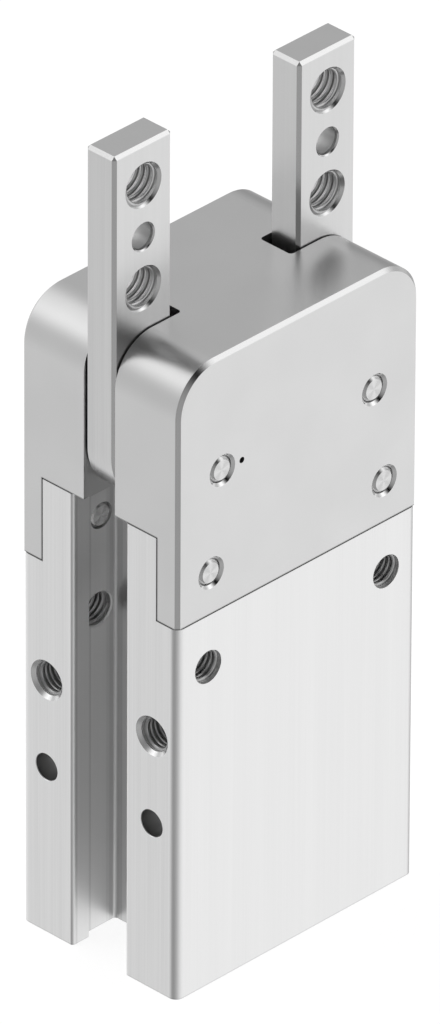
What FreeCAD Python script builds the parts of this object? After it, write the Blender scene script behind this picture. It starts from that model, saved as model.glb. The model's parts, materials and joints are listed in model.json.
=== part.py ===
# Air-driven radial gripper: two jaws swing 90 degrees each on pivot pins in a slotted cap.
# Millimetres. +X to the object's right, +Y to its back, +Z up.
# The origin is the middle of the body's bottom face, and the jaws are closed, pointing up.
import FreeCAD, Part
import math
import os
from FreeCAD import Vector

# Body: an extruded profile whose top is milled down to a tongue that the cap straddles
body_width = 46.0
body_depth = 29.5
body_height = 72.0
body_corner_radius = 1.3
tongue_depth = 21.5
skirt_length = 13.0
seam_gap = 0.14
seam_depth = 1.0

# The undercut slot along the middle of each side of the body
side_slot_mouth = 10.0
side_slot_inside = 12.0
side_slot_lip = 3.1
side_slot_back_wall = 1.3
side_slot_edge_radius = 0.5
side_slot_corner_radius = 0.5

# Cap
cap_height = 26.7
cap_corner_radius = 7.0
cap_chamfer = 0.55
jaw_slot_width = 5.9
jaw_slot_end_gap = 1.6
jaw_slot_corner_radius = 0.6
mark_diameter = 0.9
mark_depth = 1.2
mark_offset = 3.7

# Jaws
jaw_width = 11.0
jaw_thickness = 5.45
jaw_reach = 46.75
jaw_hub_radius = 8.45
jaw_chamfer = 0.5
jaw_swing = 90.0
jaw_floor_gap = 0.3
finger_thread_diameter = 6.0
finger_thread_rim = 6.8
finger_dowel_diameter = 4.0
finger_dowel_rim = 4.4
finger_hole_pitch = 8.0
finger_hole_from_tip = 6.3

# The forked lever at the foot of each jaw, and the crosshead pin that works in it
lever_arm = 6.05
drive_pin_diameter = 3.0
fork_side_gap = 0.65
fork_prong_thickness = 1.9
fork_reach = 9.8
fork_tip_radius = 0.8
fork_root_radius = 1.5
fork_end_inset = 0.2

# Pins
pin_diameter = 4.0
pin_recess = 0.1
pin_chamfer = 0.5
pin_hole_rim = 4.85
cap_pin_inset = 6.4
cap_pin_drop = 6.5
jaw_bush_wall = 0.5

# Crosshead
crosshead_stem_width = 6.8
crosshead_depth = 11.2
crosshead_eye_radius = 2.4
crosshead_jaw_gap = 0.38
crosshead_stem_rise = 3.5
pocket_side_gap = 0.5
pocket_top_gap = 1.0
rod_spigot_diameter = 4.5
rod_spigot_length = 4.5

# Clearance under the forks, milled across the top of the tongue
fork_trench_width = 6.2
fork_trench_gap = 0.75
fork_trench_overrun = 0.9

# Cylinder
bore_diameter = 25.0
bore_top = 43.5
rod_diameter = 8.0
rod_hole_gap = 0.3
rod_seal_diameter = 13.0
rod_seal_height = 3.5
rod_seal_floor = 2.0
guide_bush_diameter = 11.0
guide_bush_land = 4.2
buffer_outer = 18.0
buffer_inner = 9.6
buffer_thickness = 1.8
buffer_seat_depth = 0.9

# Piston and the rings round it
piston_length = 17.5
piston_seal_width = 2.5
piston_seal_depth = 2.2
piston_seal_inset = 1.6
magnet_width = 4.0
magnet_depth = 1.8
nut_across_flats = 10.0
nut_height = 3.2
rod_thread_diameter = 6.0

# Bottom end of the cylinder
ring_groove_height = 1.2
ring_groove_width = 1.2
ring_groove_depth = 0.7
ring_thickness = 1.1
ring_web = 2.0
ring_gap_angle = 26.0
ring_lug_radius = 1.8
ring_lug_hole = 1.4
cover_thickness = 6.0
cover_puller_hole = 3.0
cover_puller_depth = 4.0
seal_cord_diameter = 1.8

# Holes for fastening the body and for air
thread_diameter = 5.0
thread_rim = 6.05
slot_thread_rim = 5.4
dowel_diameter = 4.0
dowel_rim = 4.2
side_hole_spacing = 20.0
side_thread_height = 40.4
side_thread_depth = 7.0
side_dowel_height = 26.5
side_dowel_depth = 6.0
face_thread_inset = 5.9
face_thread_drop = 8.1
port_offset = 10.5
port_thread_depth = 4.2
port_channel_diameter = 2.0
port_lower_rise = 0.9
port_upper_drop = 2.6

# Clearances between pieces
seat_gap = 0.01
running_gap = 0.05
ring_side_gap = 0.05
buffer_travel_gap = 0.4

# Places that follow from the sizes above
half_width = body_width / 2
half_depth = body_depth / 2
shoulder_height = body_height - skirt_length
cap_top = body_height + cap_height
pivot_x = half_width - jaw_hub_radius
pivot_z = body_height + jaw_floor_gap + max(lever_arm + crosshead_eye_radius, jaw_hub_radius)
drive_x = pivot_x - lever_arm
stroke = 2 * lever_arm * math.tan(math.radians(jaw_swing / 2))
drive_z = pivot_z - stroke / 2
cap_pin_x = half_width - cap_pin_inset
cap_pin_z = body_height - cap_pin_drop
slot_floor_x = bore_diameter / 2 + side_slot_back_wall
slot_wall_y = side_slot_inside / 2
fork_slot_half = drive_pin_diameter / 2 + fork_side_gap
fork_half = fork_slot_half + fork_prong_thickness
fork_tip_drop = (fork_reach + fork_half) * math.sqrt(0.5)
trench_floor = pivot_z - fork_tip_drop - fork_trench_gap
crosshead_half_length = drive_x + crosshead_eye_radius
crosshead_bottom = drive_z - crosshead_eye_radius
stem_top = drive_z + crosshead_stem_rise
pocket_half_length = crosshead_half_length + pocket_side_gap
pocket_half_depth = crosshead_depth / 2 + pocket_side_gap
pocket_top = pivot_z + fork_tip_drop + pocket_top_gap
bore_radius = bore_diameter / 2
rod_radius = rod_diameter / 2
cover_bottom = ring_groove_height + ring_groove_width
cover_top = cover_bottom + cover_thickness
buffer_proud = buffer_thickness - buffer_seat_depth
piston_bottom = cover_top + buffer_proud + buffer_travel_gap
piston_top = piston_bottom + piston_length
piston_radius = bore_radius - running_gap
port_upper_height = bore_top - port_upper_drop
port_lower_height = cover_top + port_lower_rise
rod_seal_z = bore_top + rod_seal_floor
guide_bush_z = rod_seal_z + rod_seal_height + guide_bush_land
guide_bush_length = trench_floor - guide_bush_z

X_AXIS = Vector(1, 0, 0)
Y_AXIS = Vector(0, 1, 0)
Z_AXIS = Vector(0, 0, 1)


def block(x0, x1, y0, y1, z0, z1):
    """A box given by its two corners."""
    return Part.makeBox(x1 - x0, y1 - y0, z1 - z0, Vector(x0, y0, z0))


def outline(points):
    """A closed face: a point is a corner, and a pair is an arc's middle and its end."""
    edges = []
    here = points[0]
    for step in points[1:] + [points[0]]:
        if isinstance(step, tuple):
            middle, end = step
            edges.append(Part.Arc(here, middle, end).toShape())
        else:
            end = step
            if (end - here).Length > 1e-6:
                edges.append(Part.makeLine(here, end))
        here = end
    return Part.Face(Part.Wire(edges))


def turned(profile, x=0.0, y=0.0):
    """A solid of revolution about an upright axis, from (radius, height) points."""
    points = [Vector(r, 0, z) for r, z in profile]
    solid = Part.Face(Part.makePolygon(points + [points[0]])).revolve(Vector(0, 0, 0), Z_AXIS, 360)
    solid.translate(Vector(x, y, 0))
    return solid


def ring(outer, inner, z0, z1):
    """A plain upright ring."""
    return turned([(inner, z0), (outer, z0), (outer, z1), (inner, z1)])


def laid_on(solid, start, direction):
    """Turn an upright solid whose foot is at the origin to run from start along direction."""
    solid.Placement = FreeCAD.Placement(start, FreeCAD.Rotation(Z_AXIS, direction))
    return solid


def drilling(mouth, direction, diameter, depth, rim=0.0, blind=False):
    """The tool that cuts one round hole, with its countersink and its drill point."""
    radius = diameter / 2
    above = 1.0
    profile = [(0, -above), (max(rim, diameter) / 2, -above), (max(rim, diameter) / 2, 0)]
    if rim > diameter:
        profile.append((radius, (rim - diameter) / 2))
    profile.append((radius, depth))
    if blind:
        profile.append((0, depth + radius * math.tan(math.radians(30))))
    else:
        profile.append((0, depth))
    return laid_on(turned(profile), mouth, direction)


def edges_at(shape, axis, places, reach=0.01):
    """The straight edges along one axis that pass through the given places."""
    found = []
    for edge in shape.Edges:
        if len(edge.Vertexes) != 2:
            continue
        span = edge.Vertexes[1].Point - edge.Vertexes[0].Point
        if span.Length < reach or abs(abs(span.normalize().dot(axis)) - 1) > 1e-6:
            continue
        point = edge.Vertexes[0].Point
        for place in places:
            offset = point - place
            if (offset - axis * offset.dot(axis)).Length < reach:
                found.append(edge)
                break
    return found


def save(name, solid):
    """Write one piece, after a check that it is sound."""
    assert solid.isValid() and solid.Volume > 0, name
    solid.exportStep("parts/" + name + ".step")
    box = solid.BoundBox
    print(f"{name:22s} solids {len(solid.Solids)}  volume {solid.Volume:9.1f}  z {box.ZMin:7.2f} to {box.ZMax:7.2f}")


# Body

def side_slot(side):
    """The tool for the undercut slot in one side: a mouth between two lips, and a wider inside."""
    mouth = side_slot_mouth / 2
    inner = slot_floor_x
    lip = half_width - side_slot_lip
    xs = sorted((side * inner, side * (half_width + 1)))
    tool = block(xs[0], xs[1], -mouth, mouth, 0, body_height)
    xs = sorted((side * inner, side * lip))
    tool = tool.fuse(block(xs[0], xs[1], -slot_wall_y, slot_wall_y, 0, body_height)).removeSplitter()
    corners = [Vector(side * inner, y, 0) for y in (-slot_wall_y, slot_wall_y)]
    return tool.makeFillet(side_slot_corner_radius, edges_at(tool, Z_AXIS, corners))


def extrusion():
    """The profile before any drilling: round corners, side slots and the tongue on top."""
    shape = block(-half_width, half_width, -half_depth, half_depth, 0, body_height)
    corners = [Vector(x, y, 0) for x in (-half_width, half_width) for y in (-half_depth, half_depth)]
    shape = shape.makeFillet(body_corner_radius, edges_at(shape, Z_AXIS, corners))
    for side in (-1, 1):
        shape = shape.cut(side_slot(side))
    mouths = [Vector(x, y, 0) for x in (-half_width, half_width)
              for y in (-side_slot_mouth / 2, side_slot_mouth / 2)]
    shape = shape.makeFillet(side_slot_edge_radius, edges_at(shape, Z_AXIS, mouths))
    for ys in ((-half_depth - 1, -tongue_depth / 2), (tongue_depth / 2, half_depth + 1)):
        shape = shape.cut(block(-half_width - 1, half_width + 1, ys[0], ys[1], shoulder_height, body_height + 1))
    return shape


def cylinder_bore():
    """The stepped bore up the middle, with the ring groove, buffer seat, rod seal groove and bush seat."""
    groove_radius = bore_radius + ring_groove_depth
    hole = rod_radius + rod_hole_gap
    seal = rod_seal_diameter / 2
    bush = guide_bush_diameter / 2
    return turned([
        (0, -1), (bore_radius, -1), (bore_radius, ring_groove_height),
        (groove_radius, ring_groove_height), (groove_radius, cover_bottom),
        (bore_radius, cover_bottom), (bore_radius, bore_top),
        (buffer_outer / 2, bore_top), (buffer_outer / 2, bore_top + buffer_seat_depth),
        (hole, bore_top + buffer_seat_depth), (hole, rod_seal_z), (seal, rod_seal_z),
        (seal, rod_seal_z + rod_seal_height), (hole, rod_seal_z + rod_seal_height),
        (hole, guide_bush_z), (bush, guide_bush_z), (bush, body_height + 1), (0, body_height + 1),
    ])


def body_drillings():
    """Fastening holes in both sides, tapped holes in both faces, cap pin holes and air ports."""
    tools = []
    for side in (-1, 1):
        inward = X_AXIS * -side
        for y in (-side_hole_spacing / 2, side_hole_spacing / 2):
            mouth = Vector(side * half_width, y, side_thread_height)
            tools.append(drilling(mouth, inward, thread_diameter, side_thread_depth, thread_rim, True))
            mouth = Vector(side * half_width, y, side_dowel_height)
            tools.append(drilling(mouth, inward, dowel_diameter, side_dowel_depth, dowel_rim, True))
    for face in (-1, 1):
        for x in (face_thread_inset - half_width, half_width - face_thread_inset):
            inside = Vector(x, face * slot_wall_y, shoulder_height - face_thread_drop)
            wall = half_depth - slot_wall_y + 1
            tools.append(drilling(inside, Y_AXIS * face, thread_diameter, wall, slot_thread_rim))
        for x in (-cap_pin_x, cap_pin_x):
            inside = Vector(x, face * slot_wall_y, cap_pin_z)
            tools.append(drilling(inside, Y_AXIS * face, pin_diameter + 2 * seat_gap, tongue_depth / 2))
    for height in (port_lower_height, port_upper_height):
        mouth = Vector(port_offset, half_depth, height)
        tools.append(drilling(mouth, -Y_AXIS, thread_diameter, port_thread_depth, thread_rim, True))
        tools.append(drilling(mouth, -Y_AXIS, port_channel_diameter, half_depth - port_channel_diameter))
    return tools


def body():
    """Extrusion, drilled and bored, with a trench across the tongue for the jaws' forks."""
    shape = extrusion().cut([cylinder_bore()] + body_drillings())
    half = fork_trench_width / 2
    end = pocket_half_length + fork_trench_overrun
    trench = block(-end, end, -half, half, trench_floor, body_height + 1)
    return shape.cut(trench)


# Cap

def cap():
    """A milled hood with two skirts, rounded shoulders, one slot for each jaw and a pocket between."""
    z0 = shoulder_height + seam_gap
    z1 = cap_top
    r = cap_corner_radius
    k = r * (1 - math.sqrt(0.5))
    w = half_width
    front = -half_depth
    face = outline([
        Vector(-w, front, z0), Vector(-w, front, z1 - r),
        (Vector(-w + k, front, z1 - k), Vector(-w + r, front, z1)),
        Vector(w - r, front, z1),
        (Vector(w - k, front, z1 - k), Vector(w, front, z1 - r)),
        Vector(w, front, z0),
    ])
    shape = face.extrude(Y_AXIS * body_depth)
    rims = [e for e in shape.Edges
            if abs(e.BoundBox.YMin - e.BoundBox.YMax) < 1e-6 and e.BoundBox.ZMax > z0 + 0.01]
    shape = shape.makeChamfer(cap_chamfer, rims)
    straddle = tongue_depth / 2 + seam_gap
    shape = shape.cut(block(-w - 1, w + 1, -straddle, straddle, z0 - 1, body_height))
    for side in (-1, 1):
        xs = sorted((side * (w - seam_depth), side * (w + 1)))
        shape = shape.cut(block(xs[0], xs[1], -straddle, straddle, body_height - 1, body_height + seam_gap))
    slot = jaw_slot_width / 2
    land = half_width - jaw_width - jaw_slot_end_gap
    for side in (-1, 1):
        xs = sorted((side * land, side * (w + 1)))
        tool = block(xs[0], xs[1], -slot, slot, body_height - 1, z1 + 1)
        ends = [Vector(side * land, y, 0) for y in (-slot, slot)]
        shape = shape.cut(tool.makeFillet(jaw_slot_corner_radius, edges_at(tool, Z_AXIS, ends)))
    pocket = block(-pocket_half_length, pocket_half_length, -pocket_half_depth, pocket_half_depth,
                   body_height - 1, pocket_top)
    holes = []
    for x in (-pivot_x, pivot_x):
        for face_side in (-1, 1):
            mouth = Vector(x, face_side * half_depth, pivot_z)
            holes.append(drilling(mouth, Y_AXIS * -face_side, pin_diameter + 2 * seat_gap, half_depth, pin_hole_rim))
    for x in (-cap_pin_x, cap_pin_x):
        for face_side in (-1, 1):
            mouth = Vector(x, face_side * half_depth, cap_pin_z)
            holes.append(drilling(mouth, Y_AXIS * -face_side, pin_diameter + 2 * seat_gap, half_depth, pin_hole_rim))
    mark = Vector(-pivot_x + mark_offset, -half_depth, pivot_z)
    holes.append(drilling(mark, Y_AXIS, mark_diameter, mark_depth, 0, True))
    return shape.cut([pocket] + holes)


# Jaws

def jaw_blank():
    """The left jaw's outline: finger, hub arc about the pivot, and the fork at 45 degrees."""
    y = -jaw_thickness / 2
    pivot = Vector(-pivot_x, y, pivot_z)
    along = Vector(math.sqrt(0.5), 0, -math.sqrt(0.5))
    across = Vector(math.sqrt(0.5), 0, math.sqrt(0.5))
    r = jaw_hub_radius
    inner = jaw_width - r

    def at(distance, offset):
        return pivot + along * distance + across * offset

    hub_end = at(math.sqrt(r * r - fork_half * fork_half), -fork_half)
    hub_middle_angle = (math.pi + math.atan2(hub_end.z - pivot.z, hub_end.x - pivot.x) + 2 * math.pi) / 2
    hub_middle = pivot + Vector(math.cos(hub_middle_angle), 0, math.sin(hub_middle_angle)) * r
    slot_start = lever_arm - fork_end_inset
    elbow = pivot + Vector(inner, 0, fork_half * math.sqrt(2) - inner)
    face = outline([
        pivot + Vector(-r, 0, jaw_reach), pivot + Vector(-r, 0, 0), (hub_middle, hub_end),
        at(fork_reach, -fork_half), at(fork_reach, -fork_slot_half), at(slot_start, -fork_slot_half),
        (at(slot_start - fork_slot_half, 0), at(slot_start, fork_slot_half)),
        at(fork_reach, fork_slot_half), at(fork_reach, fork_half),
        elbow, pivot + Vector(inner, 0, jaw_reach),
    ])
    shape = face.extrude(Y_AXIS * jaw_thickness)
    tips = [at(fork_reach, -fork_half), at(fork_reach, fork_half)]
    shape = shape.makeFillet(fork_tip_radius, edges_at(shape, Y_AXIS, tips))
    return shape.makeFillet(fork_root_radius, edges_at(shape, Y_AXIS, [elbow]))


def jaw_left():
    """The blank with its rims chamfered along the finger and hub, and its holes drilled."""
    shape = jaw_blank()
    left = -pivot_x - jaw_hub_radius
    right = left + jaw_width
    tip = pivot_z + jaw_reach
    rims = []
    for edge in shape.Edges:
        box = edge.BoundBox
        flat = box.YMax - box.YMin < 1e-6
        outer_side = flat and box.XMin < left + 0.01
        inner_side = flat and box.XMax < right + 0.01 and box.XMin > right - 0.01 and box.ZMax > tip - 0.01
        if outer_side or inner_side or box.ZMin > tip - 0.01:
            rims.append(edge)
    shape = shape.makeChamfer(jaw_chamfer, rims)
    front = -jaw_thickness / 2
    middle = (left + right) / 2
    tools = []
    for step, (diameter, rim) in enumerate((
            (finger_thread_diameter, finger_thread_rim),
            (finger_dowel_diameter, finger_dowel_rim),
            (finger_thread_diameter, finger_thread_rim))):
        z = tip - finger_hole_from_tip - step * finger_hole_pitch
        tools.append(drilling(Vector(middle, front, z), Y_AXIS, diameter, jaw_thickness, rim))
        tools.append(drilling(Vector(middle, -front, z), -Y_AXIS, diameter, jaw_thickness, rim))
    hub_hole = pin_diameter + 2 * running_gap + 2 * jaw_bush_wall + 2 * seat_gap
    tools.append(drilling(Vector(-pivot_x, front, pivot_z), Y_AXIS, hub_hole, jaw_thickness + 1))
    return shape.cut(tools)


def mirrored(solid):
    """The same piece on the other side of the middle plane."""
    return solid.mirror(Vector(0, 0, 0), X_AXIS)


def jaw_bush():
    """Plain bearing pressed into the left jaw's hub, turning on the pivot pin."""
    inner = pin_diameter / 2 + running_gap
    upright = ring(inner + jaw_bush_wall, inner, 0, jaw_thickness)
    return laid_on(upright, Vector(-pivot_x, -jaw_thickness / 2, pivot_z), Y_AXIS)


# Pins

def pin(start, direction, length, diameter, near_chamfer, far_chamfer):
    """A ground pin with a chamfer at each end."""
    r = diameter / 2
    profile = [(0, 0), (r - near_chamfer, 0), (r, near_chamfer), (r, length - far_chamfer),
               (r - far_chamfer, length), (0, length)]
    return laid_on(turned(profile), start, direction)


def pivot_pin():
    """The left jaw's pin, through the whole cap from front to back."""
    start = Vector(-pivot_x, -half_depth + pin_recess, pivot_z)
    return pin(start, Y_AXIS, body_depth - 2 * pin_recess, pin_diameter, pin_chamfer, pin_chamfer)


def cap_pin(x, face):
    """A short pin that holds one skirt of the cap to the tongue and ends flush in the side slot."""
    start = Vector(x, face * (half_depth - pin_recess), cap_pin_z)
    length = half_depth - pin_recess - slot_wall_y
    return pin(start, Y_AXIS * -face, length, pin_diameter, pin_chamfer, pin_chamfer)


def drive_pin():
    """The left pin of the crosshead, which works in the left jaw's fork."""
    start = Vector(-drive_x, -crosshead_depth / 2, drive_z)
    return pin(start, Y_AXIS, crosshead_depth, drive_pin_diameter, pin_recess, pin_recess)


# Crosshead and piston

def crosshead():
    """An H-shaped head: a stem on the rod and two cheeks that carry the drive pins past the jaws."""
    cheek_start = jaw_thickness / 2 + crosshead_jaw_gap
    half = crosshead_depth / 2
    r = crosshead_eye_radius
    shape = block(-crosshead_stem_width / 2, crosshead_stem_width / 2, -half, half, crosshead_bottom, stem_top)
    for y in (-half, cheek_start):
        face = outline([
            Vector(-drive_x, y, drive_z - r), Vector(drive_x, y, drive_z - r),
            (Vector(drive_x + r, y, drive_z), Vector(drive_x, y, drive_z + r)),
            Vector(-drive_x, y, drive_z + r),
            (Vector(-drive_x - r, y, drive_z), Vector(-drive_x, y, drive_z - r)),
        ])
        shape = shape.fuse(face.extrude(Y_AXIS * (half - cheek_start)))
    holes = [drilling(Vector(x, -half, drive_z), Y_AXIS, drive_pin_diameter + 2 * seat_gap, crosshead_depth + 1)
             for x in (-drive_x, drive_x)]
    socket = Vector(0, 0, crosshead_bottom)
    holes.append(drilling(socket, Z_AXIS, rod_spigot_diameter + 2 * seat_gap, rod_spigot_length + seat_gap, 0, True))
    return shape.removeSplitter().cut(holes)


def piston_rod():
    """A turned rod: a spigot up into the crosshead, and a thinner end down through the piston."""
    thin = rod_thread_diameter / 2
    spigot = rod_spigot_diameter / 2
    chamfer = pin_chamfer
    return turned([
        (0, piston_bottom + seat_gap), (thin - chamfer, piston_bottom + seat_gap),
        (thin, piston_bottom + chamfer), (thin, piston_top), (rod_radius, piston_top),
        (rod_radius, crosshead_bottom), (spigot, crosshead_bottom),
        (spigot, crosshead_bottom + rod_spigot_length - chamfer),
        (spigot - chamfer, crosshead_bottom + rod_spigot_length), (0, crosshead_bottom + rod_spigot_length),
    ])


def piston_groove_places():
    """Lower edge of the lower seal's groove, the magnet's and the upper seal's."""
    lower = piston_bottom + piston_seal_inset
    upper = piston_top - piston_seal_inset - piston_seal_width
    magnet = (piston_bottom + piston_top - magnet_width) / 2
    return lower, magnet, upper


def piston():
    """A turned piston with two seal grooves, a magnet groove and a recess for the nut."""
    lower, magnet, upper = piston_groove_places()
    r = piston_radius
    hole = rod_thread_diameter / 2 + seat_gap
    chamfer = pin_chamfer
    profile = [(hole, piston_bottom), (r - chamfer, piston_bottom), (r, piston_bottom + chamfer)]
    for z, width, depth in ((lower, piston_seal_width, piston_seal_depth), (magnet, magnet_width, magnet_depth),
                            (upper, piston_seal_width, piston_seal_depth)):
        profile += [(r, z), (r - depth, z), (r - depth, z + width), (r, z + width)]
    profile += [(r, piston_top - chamfer), (r - chamfer, piston_top), (hole, piston_top)]
    recess = nut_across_flats / math.sqrt(3) + ring_side_gap
    return turned(profile).cut(Part.makeCylinder(recess, nut_height + 1, Vector(0, 0, piston_bottom - 1)))


def lip_seal(inner, outer, z0, height, open_up):
    """A seal ring whose open side has a notch, so that air presses both lips outwards."""
    notch = (outer - inner) / 5
    middle = (outer + inner) / 2
    profile = [(inner, 0), (outer - notch, 0), (outer, notch), (outer, height), (middle + notch, height),
               (middle, height / 2), (middle - notch, height), (inner, height)]
    if not open_up:
        profile = [(r, height - z) for r, z in profile]
    return turned([(r, z0 + z) for r, z in profile])


def piston_seal(z, open_up):
    """The lip seal in one of the piston's grooves."""
    inner = piston_radius - piston_seal_depth + seat_gap
    outer = bore_radius - running_gap / 2
    return lip_seal(inner, outer, z + ring_side_gap, piston_seal_width - 2 * ring_side_gap, open_up)


def piston_magnet(z):
    """A magnet ring in the middle groove, sensed through the body by a switch in a side slot."""
    return ring(piston_radius - running_gap, piston_radius - magnet_depth + seat_gap,
                z + ring_side_gap, z + magnet_width - ring_side_gap)


def piston_nut():
    """A hexagon nut that clamps the piston up against the rod's shoulder."""
    z = piston_bottom + ring_side_gap
    radius = nut_across_flats / math.sqrt(3)
    corners = [Vector(radius * math.cos(math.radians(60 * i)), radius * math.sin(math.radians(60 * i)), z)
               for i in range(7)]
    shape = Part.Face(Part.makePolygon(corners)).extrude(Z_AXIS * (nut_height - ring_side_gap))
    return shape.cut(Part.makeCylinder(rod_thread_diameter / 2 + seat_gap, nut_height + 2, Vector(0, 0, z - 1)))


# Rod guide, buffers and the bottom of the cylinder

def rod_guide_bush():
    """Plain bearing pressed into the top of the body round the rod."""
    inner = rod_radius + running_gap
    outer = guide_bush_diameter / 2 - seat_gap
    chamfer = pin_chamfer
    z0 = guide_bush_z + seat_gap
    z1 = z0 + guide_bush_length - chamfer
    return turned([(inner, z0), (outer - chamfer, z0), (outer, z0 + chamfer), (outer, z1), (inner, z1)])


def buffer_ring(z0):
    """A rubber ring that stops the piston softly."""
    inner = buffer_inner / 2
    outer = buffer_outer / 2 - seat_gap
    return ring(outer, inner, z0, z0 + buffer_thickness - seat_gap)


def end_cover():
    """The turned plug that closes the bore, with a seal groove and a seat for the lower buffer."""
    r = bore_radius - seat_gap
    groove = bore_radius - seal_cord_diameter
    middle = (cover_bottom + cover_top) / 2
    half = seal_cord_diameter / 2 + ring_side_gap
    seat = cover_top - buffer_seat_depth
    chamfer = pin_chamfer
    shape = turned([
        (0, cover_bottom), (r - chamfer, cover_bottom), (r, cover_bottom + chamfer), (r, middle - half),
        (groove, middle - half), (groove, middle + half), (r, middle + half), (r, cover_top - chamfer),
        (r - chamfer, cover_top), (buffer_outer / 2, cover_top), (buffer_outer / 2, seat), (0, seat),
    ])
    return shape.cut(drilling(Vector(0, 0, cover_bottom), Z_AXIS, cover_puller_hole, cover_puller_depth, 0, True))


def end_cover_seal():
    """A rubber ring with an eight-sided section in the cover's groove."""
    r = seal_cord_diameter / 2 - seat_gap
    middle = (cover_bottom + cover_top) / 2
    centre = bore_radius - seal_cord_diameter / 2
    corners = [math.radians(22.5 + 45 * i) for i in range(8)]
    return turned([(centre + r * math.cos(a), middle + r * math.sin(a)) for a in corners])


def retaining_ring():
    """A spring ring in the bore's groove, open at the front, with an eye at each end for pliers."""
    z = ring_groove_height + (ring_groove_width - ring_thickness) / 2
    outer = bore_radius + ring_groove_depth - ring_side_gap
    inner = bore_radius - ring_web
    shape = ring(outer, inner, z, z + ring_thickness)
    half = math.radians(ring_gap_angle / 2)
    far = 2 * outer
    wedge = Part.Face(Part.makePolygon([
        Vector(0, 0, z - 1), Vector(far * math.sin(-half), -far * math.cos(half), z - 1),
        Vector(far * math.sin(half), -far * math.cos(half), z - 1), Vector(0, 0, z - 1),
    ])).extrude(Z_AXIS * (ring_thickness + 2))
    shape = shape.cut(wedge)
    lug_angle = half + ring_lug_radius / inner
    for side in (-1, 1):
        centre = Vector(side * inner * math.sin(lug_angle), -inner * math.cos(lug_angle), z)
        shape = shape.fuse(Part.makeCylinder(ring_lug_radius, ring_thickness, centre))
        shape = shape.cut(Part.makeCylinder(ring_lug_hole / 2, ring_thickness + 2, centre - Z_AXIS))
    return shape.removeSplitter()


os.makedirs("parts", exist_ok=True)
lower_groove, magnet_groove, upper_groove = piston_groove_places()
left_jaw = jaw_left()
left_bush = jaw_bush()
left_pivot = pivot_pin()
left_drive = drive_pin()
save("body", body())
save("cap", cap())
save("jaw_left", left_jaw)
save("jaw_right", mirrored(left_jaw))
save("jaw_bush_left", left_bush)
save("jaw_bush_right", mirrored(left_bush))
save("pivot_pin_left", left_pivot)
save("pivot_pin_right", mirrored(left_pivot))
for face_name, face_side in (("front", -1), ("back", 1)):
    for side_name, x in (("left", -cap_pin_x), ("right", cap_pin_x)):
        save("cap_pin_" + face_name + "_" + side_name, cap_pin(x, face_side))
save("crosshead", crosshead())
save("drive_pin_left", left_drive)
save("drive_pin_right", mirrored(left_drive))
save("piston_rod", piston_rod())
save("piston", piston())
save("piston_magnet", piston_magnet(magnet_groove))
save("piston_seal_lower", piston_seal(lower_groove, False))
save("piston_seal_upper", piston_seal(upper_groove, True))
save("piston_nut", piston_nut())
save("rod_seal", lip_seal(rod_radius + running_gap / 2, rod_seal_diameter / 2 - seat_gap,
                          rod_seal_z + ring_side_gap, rod_seal_height - 2 * ring_side_gap, False))
save("rod_guide_bush", rod_guide_bush())
save("buffer_lower", buffer_ring(cover_top - buffer_seat_depth))
save("buffer_upper", buffer_ring(bore_top + buffer_seat_depth - buffer_thickness))
save("end_cover", end_cover())
save("end_cover_seal", end_cover_seal())
save("retaining_ring", retaining_ring())
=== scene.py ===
import json
import math
import bpy
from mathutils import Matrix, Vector


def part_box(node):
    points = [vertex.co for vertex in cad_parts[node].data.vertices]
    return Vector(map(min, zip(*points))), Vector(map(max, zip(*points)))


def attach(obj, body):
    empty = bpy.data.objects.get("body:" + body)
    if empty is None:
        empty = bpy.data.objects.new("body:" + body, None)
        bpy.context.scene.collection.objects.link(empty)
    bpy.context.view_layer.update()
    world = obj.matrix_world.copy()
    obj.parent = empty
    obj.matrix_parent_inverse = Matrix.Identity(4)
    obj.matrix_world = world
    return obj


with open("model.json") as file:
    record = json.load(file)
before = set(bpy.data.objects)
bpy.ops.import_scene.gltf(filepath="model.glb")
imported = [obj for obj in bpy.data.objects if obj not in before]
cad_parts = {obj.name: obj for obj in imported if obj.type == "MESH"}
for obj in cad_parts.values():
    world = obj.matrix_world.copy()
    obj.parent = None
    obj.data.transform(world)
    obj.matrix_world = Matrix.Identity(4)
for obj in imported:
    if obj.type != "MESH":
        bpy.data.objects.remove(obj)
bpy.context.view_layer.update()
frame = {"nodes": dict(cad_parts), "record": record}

scene = bpy.context.scene

# Camera: a long lens, from the front left and above, so that the front and the left side of the
# gripper show about equally and upright edges stay almost parallel.
azimuth = math.radians(45.561)
elevation = math.radians(31.759)
roll = math.radians(0.2729)
camera_distance = 2.75
aim = Vector((0, 0, 0.060))
aim_right = -0.0000511
aim_up = -0.0011742
looking = Vector((math.sin(azimuth) * math.cos(elevation), math.cos(azimuth) * math.cos(elevation),
                  -math.sin(elevation)))
level_right = looking.cross(Vector((0, 0, 1))).normalized()
level_up = level_right.cross(looking)
camera_right = level_right * math.cos(roll) + level_up * math.sin(roll)
camera_up = level_up * math.cos(roll) - level_right * math.sin(roll)

camera_data = bpy.data.cameras.new("camera")
camera_data.lens = 717.3
camera_data.sensor_width = 36.0
camera_data.clip_start = 0.1
camera_data.clip_end = 50.0
camera = bpy.data.objects.new("camera", camera_data)
scene.collection.objects.link(camera)
turn = camera.matrix_world.to_3x3()
for column, axis in enumerate((camera_right, camera_up, -looking)):
    turn.col[column] = axis
camera.matrix_world = turn.to_4x4()
camera.location = aim - camera_right * aim_right - camera_up * aim_up - looking * camera_distance
scene.camera = camera

# Studio: a pale room with broad soft panels all round the gripper, above and below it. Three have
# levels below zero and darken their side of the room. The floor shows only to a camera above it,
# which sees it white, with the gripper's faint soft shadow on it.
scene.view_settings.view_transform = "Standard"
panel_spread = 14.0
room_level = 0.26
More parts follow.
